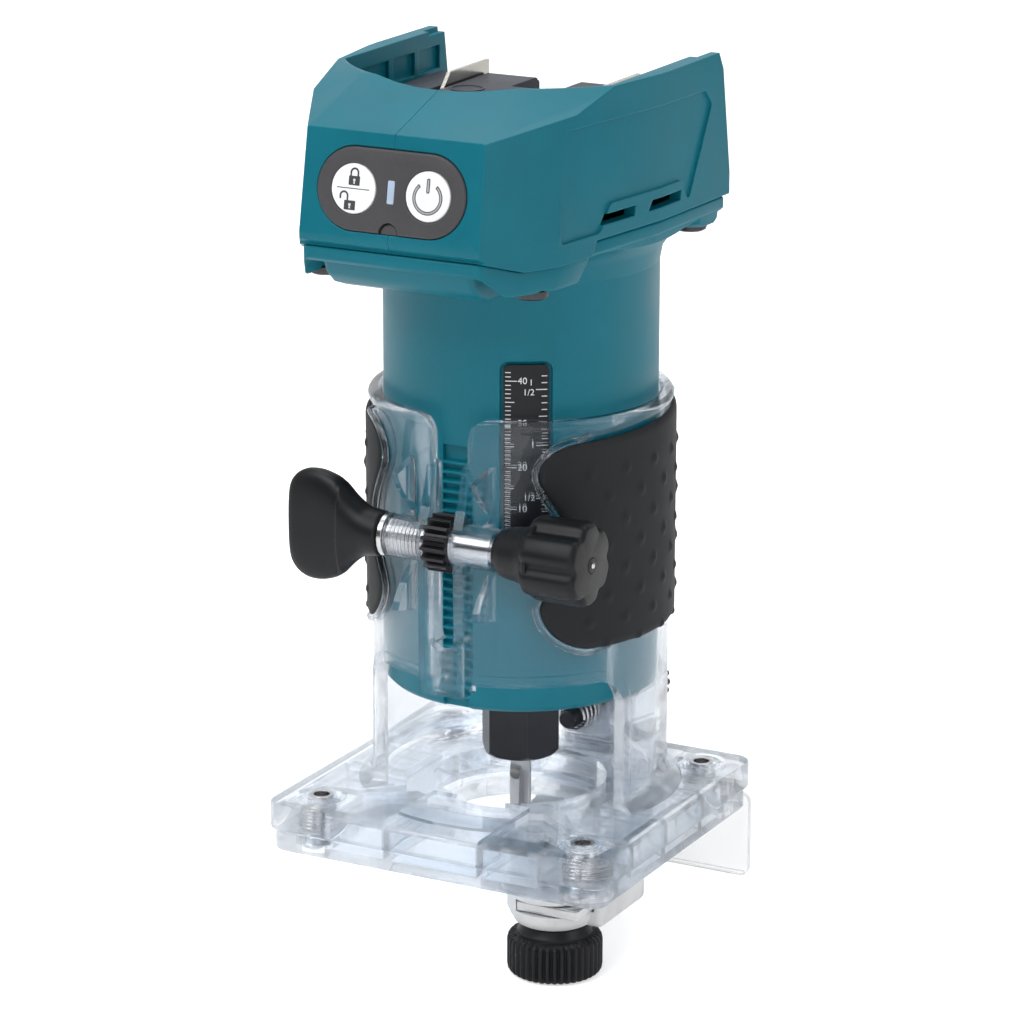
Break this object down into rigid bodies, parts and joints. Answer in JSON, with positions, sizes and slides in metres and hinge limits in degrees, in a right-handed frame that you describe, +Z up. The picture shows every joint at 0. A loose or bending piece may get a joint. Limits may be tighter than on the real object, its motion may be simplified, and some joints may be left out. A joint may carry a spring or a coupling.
{
  "type": "trim router",
  "caption": "Cordless one-hand trim router: clear sleeve base with rack-and-pinion depth setting, clamp wing, leaning switch panel, open battery bay, roller edge guide and chip shield.",
  "frame": {"origin": "on the motor axis, in the plane of the base's underside, where the bit's end face stands at rest", "axes": "+Z up along the motor axis, -Y the front with the switch panel and the depth knobs, +X the user's right as seen facing the front"},
  "size_m": [0.09, 0.1295, 0.2114],
  "materials": {
    "teal_plastic": "fine moulded grain, satin sheen",
    "clear_plastic": "clear polycarbonate, glossy, bluish at the edges",
    "clear_shield": "thin clear plastic sheet",
    "black_rubber": "soft rubber with raised diamond lozenges",
    "black_plastic": "semi-matt glass-filled nylon",
    "panel_grey": "dark grey, finely mottled",
    "button_white": "smooth white with printed symbols",
    "window_blue": "translucent indicator window",
    "terminal_grey": "matt dark grey moulding",
    "scale_black": "black with printed white graduations",
    "bright_steel": "machined bright",
    "dark_steel": "blackened",
    "black_oxide": "black oxide, slightly oily sheen",
    "cast_aluminium": "die cast, blasted",
    "cutter_steel": "ground cutter steel",
    "copper_winding": "varnished copper wire",
    "green_board": "solder-masked board",
    "nickel_contact": "nickel-plated blade"
  },
  "bodies": {
    "base": {"base": "clear_plastic", "base_protector": "clear_plastic", "base_screw_1": "bright_steel", "base_screw_2": "bright_steel", "base_screw_3": "bright_steel", "base_screw_4": "bright_steel", "base_insert_1": "bright_steel", "base_insert_2": "bright_steel", "base_insert_3": "bright_steel", "base_insert_4": "bright_steel", "grip_left": "black_rubber", "grip_right": "black_rubber", "clamp_spring": "bright_steel"},
    "motor_unit": {"motor_housing": "teal_plastic", "scale_plate": "scale_black", "stator": "dark_steel", "stator_winding": "copper_winding", "bearing_bracket": "cast_aluminium", "lower_bearing": "bright_steel", "upper_bearing": "bright_steel", "head_shell_left": "teal_plastic", "head_shell_right": "teal_plastic", "head_screw_1": "dark_steel", "head_screw_2": "dark_steel", "head_screw_3": "dark_steel", "head_screw_4": "dark_steel", "switch_bezel": "panel_grey", "led_window": "window_blue", "switch_board": "green_board", "controller": "green_board", "terminal_block": "terminal_grey", "terminal_blade_left": "nickel_contact", "terminal_blade_right": "nickel_contact"},
    "spindle": {"spindle": "bright_steel", "rotor": "dark_steel", "cooling_fan": "black_plastic", "collet_cone": "bright_steel", "router_bit": "cutter_steel"},
    "collet_nut": {"collet_nut": "black_oxide"},
    "lock_button": {"lock_button": "button_white"},
    "power_button": {"power_button": "button_white"},
    "adjuster": {"adjust_pinion": "black_oxide", "adjust_shaft": "bright_steel", "adjust_knob": "black_plastic", "knob_screw": "bright_steel", "clamp_washer": "bright_steel"},
    "clamp_wing": {"clamp_wing_knob": "black_plastic"},
    "guide_clamp": {"guide_clamp_screw": "black_oxide", "guide_clamp_knob": "black_plastic"},
    "edge_guide": {"guide_arm": "bright_steel", "guide_bracket": "cast_aluminium", "bracket_screw": "bright_steel", "chip_shield": "clear_shield", "shield_screw_1": "bright_steel", "shield_screw_2": "bright_steel"},
    "guide_holder": {"guide_holder": "cast_aluminium", "roller_screw": "bright_steel"},
    "guide_knob": {"guide_knob": "black_plastic", "guide_stud": "dark_steel"},
    "guide_roller": {"guide_roller": "bright_steel"}
  },
  "joints": [
    {"name": "depth_slide", "type": "slide", "parent": "base", "child": "motor_unit", "axis": [0, 0, 1], "range_m": [-0.015, 0.02]},
    {"name": "depth_pinion", "type": "hinge", "parent": "base", "child": "adjuster", "pos_m": [0, -0.0377, 0.0806], "axis": [1, 0, 0], "range_deg": [-145, 192]},
    {"name": "sleeve_clamp", "type": "hinge", "parent": "base", "child": "clamp_wing", "pos_m": [-0.0157, -0.0377, 0.0806], "axis": [1, 0, 0], "range_deg": [0, 180]},
    {"name": "spindle_spin", "type": "hinge", "parent": "motor_unit", "child": "spindle", "pos_m": [0, 0, 0.06], "axis": [0, 0, 1], "continuous": true},
    {"name": "collet_turn", "type": "hinge", "parent": "spindle", "child": "collet_nut", "pos_m": [0, 0, 0.0326], "axis": [0, 0, 1], "range_deg": [-180, 0]},
    {"name": "lock_press", "type": "slide", "parent": "motor_unit", "child": "lock_button", "axis": [0, 0.9859, -0.1676], "range_m": [0, 0.0008], "stiffness_N_per_m": 300, "springref_m": -0.0006},
    {"name": "power_press", "type": "slide", "parent": "motor_unit", "child": "power_button", "axis": [0, 0.9859, -0.1676], "range_m": [0, 0.0008], "stiffness_N_per_m": 300, "springref_m": -0.0006},
    {"name": "guide_height", "type": "slide", "parent": "base", "child": "edge_guide", "axis": [0, 0, 1], "range_m": [-0.009, 0]},
    {"name": "guide_clamp_turn", "type": "hinge", "parent": "base", "child": "guide_clamp", "pos_m": [0, 0.0491, 0.0184], "axis": [0, 1, 0], "continuous": true},
    {"name": "guide_reach", "type": "slide", "parent": "edge_guide", "child": "guide_holder", "axis": [0, 1, 0], "range_m": [-0.004, 0.006]},
    {"name": "guide_knob_turn", "type": "hinge", "parent": "guide_holder", "child": "guide_knob", "pos_m": [0.0245, -0.029, -0.012], "axis": [0, 0, 1], "continuous": true},
    {"name": "roller_spin", "type": "hinge", "parent": "guide_holder", "child": "guide_roller", "pos_m": [0.0095, -0.012, -0.014], "axis": [0, 0, 1], "continuous": true}
  ],
  "couplings": [
    {"joint": "depth_pinion", "follows": "depth_slide", "rad_per_m": 166.67}
  ]
}
